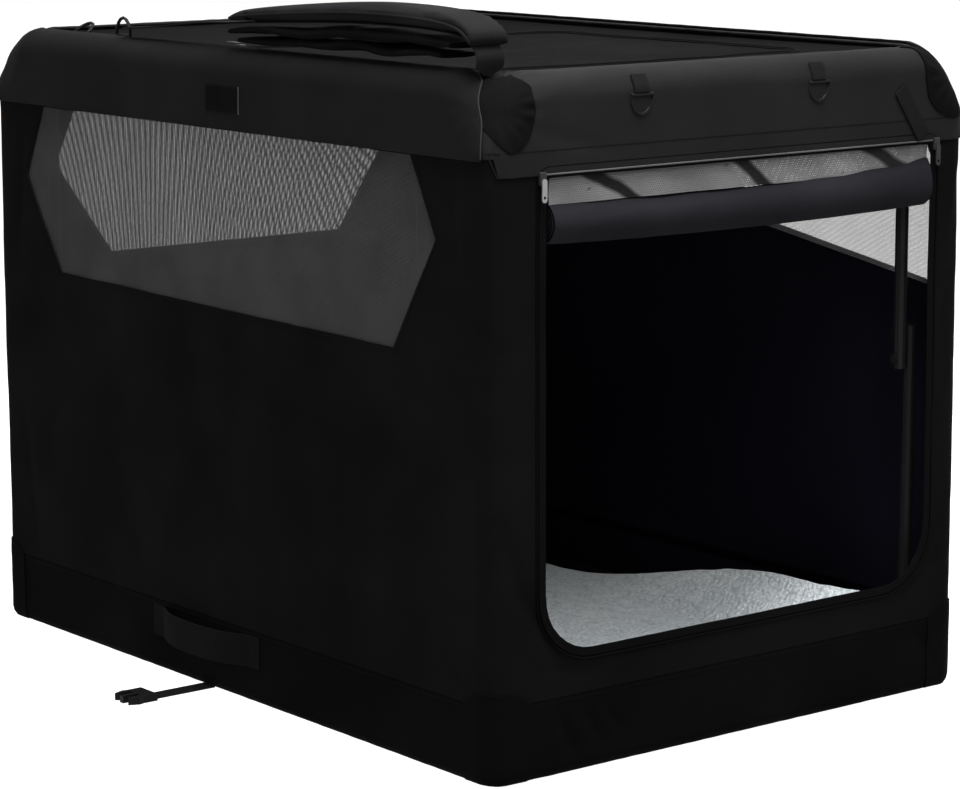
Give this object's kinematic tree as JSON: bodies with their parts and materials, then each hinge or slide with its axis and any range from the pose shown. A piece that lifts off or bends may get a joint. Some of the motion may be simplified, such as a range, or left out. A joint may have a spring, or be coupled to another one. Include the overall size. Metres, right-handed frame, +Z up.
{
  "type": "soft folding dog crate",
  "caption": "Soft-sided folding dog crate: black cloth cover over a folding steel tube frame, front door rolled up, mesh windows, roof door, fleece mat and an arched shoulder strap.",
  "frame": {"origin": "the middle of the underside, on the surface that the crate stands on", "axes": "+Z up, -Y the end with the rolled door, -X the long side with the shoulder strap"},
  "size_m": [0.9766, 1.0646, 0.8684],
  "materials": {
    "wall_cloth": "woven polyester, near black",
    "band_cloth": "woven polyester, near black",
    "mesh_cloth": "knitted mesh, dark grey",
    "fleece": "pale blue-grey fleece",
    "webbing": "woven black webbing",
    "moulding": "black",
    "black_tube": "satin black powder coat",
    "zinc": "grey zinc",
    "hardboard": "plain hardboard"
  },
  "bodies": {
    "base": {"base_frame": "black_tube", "base_floor": "band_cloth", "base_band": "band_cloth", "floor_board": "hardboard", "fleece_mat": "fleece", "door_roll": "wall_cloth", "door_mesh": "mesh_cloth", "base_patch_front_left": "band_cloth", "base_patch_front_right": "band_cloth", "base_patch_rear_left": "band_cloth", "base_patch_rear_right": "band_cloth", "left_wall": "wall_cloth", "right_wall": "wall_cloth", "front_wall": "wall_cloth", "rear_wall": "wall_cloth", "left_window_mesh": "mesh_cloth", "right_window_mesh": "mesh_cloth", "rear_window_mesh": "mesh_cloth"},
    "front_lower": {"lower_leg_front_left": "black_tube", "lower_leg_front_right": "black_tube"},
    "front_upper": {"upper_leg_front_left": "black_tube", "upper_leg_front_right": "black_tube"},
    "top": {"top_frame": "black_tube", "top_border": "band_cloth", "left_flap": "band_cloth", "right_flap": "band_cloth", "roof_panel": "band_cloth", "front_left_tab": "webbing", "front_right_tab": "webbing", "side_tab": "webbing", "strap_tab": "webbing", "door_tie": "webbing", "label_tab": "moulding", "top_patch_front_left": "band_cloth", "top_patch_front_right": "band_cloth", "top_patch_rear_left": "band_cloth", "top_patch_rear_right": "band_cloth"},
    "rear_lower": {"lower_leg_rear_left": "black_tube", "lower_leg_rear_right": "black_tube"},
    "rear_upper": {"upper_leg_rear_left": "black_tube", "upper_leg_rear_right": "black_tube"},
    "strap": {"shoulder_strap": "webbing", "shoulder_pad": "band_cloth", "strap_ring": "moulding"},
    "front_left_ring": {"front_left_ring": "moulding"},
    "front_right_ring": {"front_right_ring": "moulding"},
    "side_ring": {"side_ring": "moulding"},
    "left_zip_slider": {"left_zip_slider": "zinc"},
    "left_zip_pull": {"left_zip_pull": "zinc"},
    "right_zip_slider": {"right_zip_slider": "zinc"},
    "right_zip_pull": {"right_zip_pull": "zinc"},
    "roof_door": {"roof_door": "band_cloth"},
    "roof_zip_slider": {"roof_zip_slider": "zinc"},
    "roof_zip_pull": {"roof_zip_pull": "zinc"},
    "left_handle": {"left_handle": "webbing"},
    "right_handle": {"right_handle": "webbing"},
    "left_closure": {"left_closure_strap": "webbing", "male_buckle": "moulding"},
    "right_closure": {"right_closure_strap": "webbing", "female_buckle": "moulding"}
  },
  "joints": [
    {"name": "front_foot", "type": "hinge", "parent": "base", "child": "front_lower", "pos_m": [0, -0.48, 0.06], "axis": [-1, 0, 0], "range_deg": [0, 84.5], "deforming": ["left_wall", "right_wall", "front_wall", "rear_wall", "left_window_mesh", "right_window_mesh", "rear_window_mesh", "door_roll", "door_mesh", "top_border", "left_flap", "right_flap", "label_tab", "top_patch_front_left", "top_patch_front_right", "top_patch_rear_left", "top_patch_rear_right"]},
    {"name": "front_knee", "type": "hinge", "parent": "front_lower", "child": "front_upper", "pos_m": [0, -0.48, 0.41], "axis": [-1, 0, 0], "range_deg": [-169, 0]},
    {"name": "front_top", "type": "hinge", "parent": "front_upper", "child": "top", "pos_m": [0, -0.48, 0.76], "axis": [-1, 0, 0], "range_deg": [0, 84.5]},
    {"name": "rear_foot", "type": "hinge", "parent": "base", "child": "rear_lower", "pos_m": [0, 0.48, 0.06], "axis": [-1, 0, 0], "range_deg": [-84.5, 0]},
    {"name": "rear_knee", "type": "hinge", "parent": "rear_lower", "child": "rear_upper", "pos_m": [0, 0.48, 0.41], "axis": [-1, 0, 0], "range_deg": [0, 169]},
    {"name": "strap_swing", "type": "hinge", "parent": "top", "child": "strap", "pos_m": [-0.335, 0.236, 0.7925], "axis": [0, 1, 0], "range_deg": [-25, 25]},
    {"name": "front_left_ring_swing", "type": "hinge", "parent": "top", "child": "front_left_ring", "pos_m": [-0.157, -0.5294, 0.7594], "axis": [-1, 0, 0], "range_deg": [0, 120]},
    {"name": "front_right_ring_swing", "type": "hinge", "parent": "top", "child": "front_right_ring", "pos_m": [0.114, -0.5294, 0.7594], "axis": [-1, 0, 0], "range_deg": [0, 120]},
    {"name": "side_ring_swing", "type": "hinge", "parent": "top", "child": "side_ring", "pos_m": [-0.33558, 0.35703, 0.7897], "axis": [0, -1, 0], "range_deg": [0, 120]},
    {"name": "left_zip", "type": "slide", "parent": "top", "child": "left_zip_slider", "axis": [0, 0, 1], "range_m": [-0.45, 0]},
    {"name": "left_zip_pull_swing", "type": "hinge", "parent": "left_zip_slider", "child": "left_zip_pull", "pos_m": [-0.299, -0.533, 0.676], "axis": [-1, 0, 0], "range_deg": [0, 90]},
    {"name": "right_zip", "type": "slide", "parent": "top", "child": "right_zip_slider", "axis": [0, 0, 1], "range_m": [-0.45, 0]},
    {"name": "right_zip_pull_swing", "type": "hinge", "parent": "right_zip_slider", "child": "right_zip_pull", "pos_m": [0.309, -0.533, 0.676], "axis": [-1, 0, 0], "range_deg": [0, 90]},
    {"name": "roof_door_lift", "type": "hinge", "parent": "top", "child": "roof_door", "pos_m": [0, 0.13, 0.77918], "axis": [-1, 0, 0], "range_deg": [0, 170]},
    {"name": "roof_zip", "type": "slide", "parent": "top", "child": "roof_zip_slider", "axis": [0, 1, 0], "range_m": [-0.385, 0]},
    {"name": "roof_zip_pull_swing", "type": "hinge", "parent": "roof_zip_slider", "child": "roof_zip_pull", "pos_m": [-0.2595, 0.105, 0.78638], "axis": [1, 0, 0], "range_deg": [0, 90]},
    {"name": "left_handle_lift", "type": "hinge", "parent": "base", "child": "left_handle", "pos_m": [-0.3672, 0.04, 0.086], "axis": [0, 1, 0], "range_deg": [0, 70]},
    {"name": "right_handle_lift", "type": "hinge", "parent": "base", "child": "right_handle", "pos_m": [0.3672, 0.04, 0.086], "axis": [0, -1, 0], "range_deg": [0, 70]},
    {"name": "left_closure_lift", "type": "hinge", "parent": "base", "child": "left_closure", "pos_m": [-0.36015, 0.045, 0.0016], "axis": [0, 1, 0], "range_deg": [0, 40]},
    {"name": "right_closure_lift", "type": "hinge", "parent": "base", "child": "right_closure", "pos_m": [0.36015, 0.045, 0.0016], "axis": [0, -1, 0], "range_deg": [0, 40]}
  ],
  "couplings": [
    {"joint": "front_knee", "follows": "front_foot", "ratio": -2},
    {"joint": "front_top", "follows": "front_foot", "ratio": 1},
    {"joint": "rear_foot", "follows": "front_foot", "ratio": -1},
    {"joint": "rear_knee", "follows": "front_foot", "ratio": 2}
  ]
}
